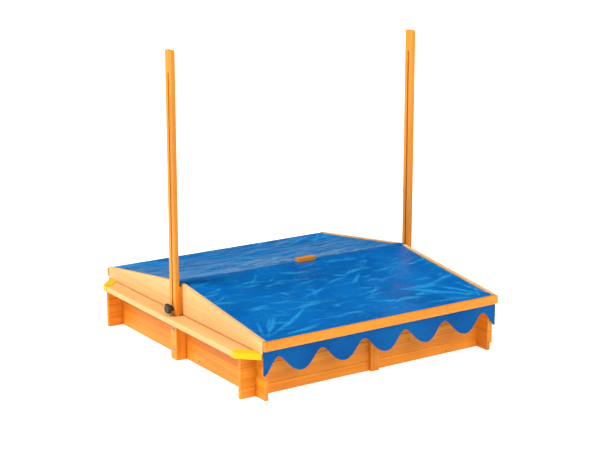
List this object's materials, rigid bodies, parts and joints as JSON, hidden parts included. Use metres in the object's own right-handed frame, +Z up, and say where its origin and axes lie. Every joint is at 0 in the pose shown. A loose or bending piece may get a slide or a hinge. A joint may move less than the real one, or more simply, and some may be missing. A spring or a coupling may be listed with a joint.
{
  "type": "sandpit with lifting roof",
  "caption": "Square wooden sandpit with side seats and corner caps; its gabled fabric roof slides up slotted posts and tilts, clamped by knobs.",
  "frame": {"origin": "on the ground below the centre of the pit", "axes": "+X to the right along the front, which faces -Y; +Z up"},
  "size_m": [1.2074, 1.2206, 1.195],
  "materials": {
    "wall_wood": "stained softwood, satin",
    "seat_wood": "pale stained softwood, satin",
    "post_wood": "stained softwood, satin",
    "roof_wood": "pale stained softwood, satin",
    "trim_wood": "stained softwood, satin",
    "coated_fabric": "coated woven polyester, soft gloss",
    "cap_plastic": "moulded, fine satin",
    "knob_plastic": "moulded, satin",
    "zinc_steel": "zinc plated"
  },
  "bodies": {
    "frame": {"wall_left_lower": "wall_wood", "wall_left_upper": "wall_wood", "wall_right_lower": "wall_wood", "wall_right_upper": "wall_wood", "wall_front_lower": "wall_wood", "wall_front_middle": "wall_wood", "wall_front_upper": "wall_wood", "support_front": "wall_wood", "wall_back_lower": "wall_wood", "wall_back_middle": "wall_wood", "wall_back_upper": "wall_wood", "support_back": "wall_wood", "seat_left": "seat_wood", "seat_right": "seat_wood", "cap_front_left": "cap_plastic", "cap_front_right": "cap_plastic", "cap_back_left": "cap_plastic", "cap_back_right": "cap_plastic", "post_left": "post_wood", "post_spacer_left": "post_wood", "post_bolt_left_lower": "zinc_steel", "post_nut_left_lower": "zinc_steel", "post_bolt_left_upper": "zinc_steel", "post_nut_left_upper": "zinc_steel", "post_right": "post_wood", "post_spacer_right": "post_wood", "post_bolt_right_lower": "zinc_steel", "post_nut_right_lower": "zinc_steel", "post_bolt_right_upper": "zinc_steel", "post_nut_right_upper": "zinc_steel"},
    "carriage": {"pivot_bolt_left": "zinc_steel", "pivot_washer_left": "zinc_steel", "pivot_bolt_right": "zinc_steel", "pivot_washer_right": "zinc_steel"},
    "canopy": {"gable_left": "roof_wood", "guide_batten_left": "trim_wood", "gable_right": "roof_wood", "guide_batten_right": "trim_wood", "ridge_pole": "roof_wood", "rail_front": "roof_wood", "strip_front": "trim_wood", "valance_front": "coated_fabric", "rail_back": "roof_wood", "strip_back": "trim_wood", "valance_back": "coated_fabric", "roof_tarp": "coated_fabric", "ridge_handle": "trim_wood"},
    "knob_left": {"knob_left": "knob_plastic"},
    "knob_right": {"knob_right": "knob_plastic"}
  },
  "joints": [
    {"name": "roof_lift", "type": "slide", "parent": "frame", "child": "carriage", "axis": [0, 0, 1], "range_m": [0, 0.9]},
    {"name": "roof_tilt", "type": "hinge", "parent": "carriage", "child": "canopy", "pos_m": [0, 0, 0.207], "axis": [1, 0, 0], "range_deg": [0, 18.5]},
    {"name": "knob_left_turn", "type": "hinge", "parent": "carriage", "child": "knob_left", "pos_m": [-0.58, 0, 0.207], "axis": [-1, 0, 0], "range_deg": [0, 360]},
    {"name": "knob_right_turn", "type": "hinge", "parent": "carriage", "child": "knob_right", "pos_m": [0.58, 0, 0.207], "axis": [1, 0, 0], "range_deg": [0, 360]}
  ],
  "couplings": [
    {"joint": "roof_tilt", "follows": "roof_lift", "rad_per_m": 0.35}
  ]
}
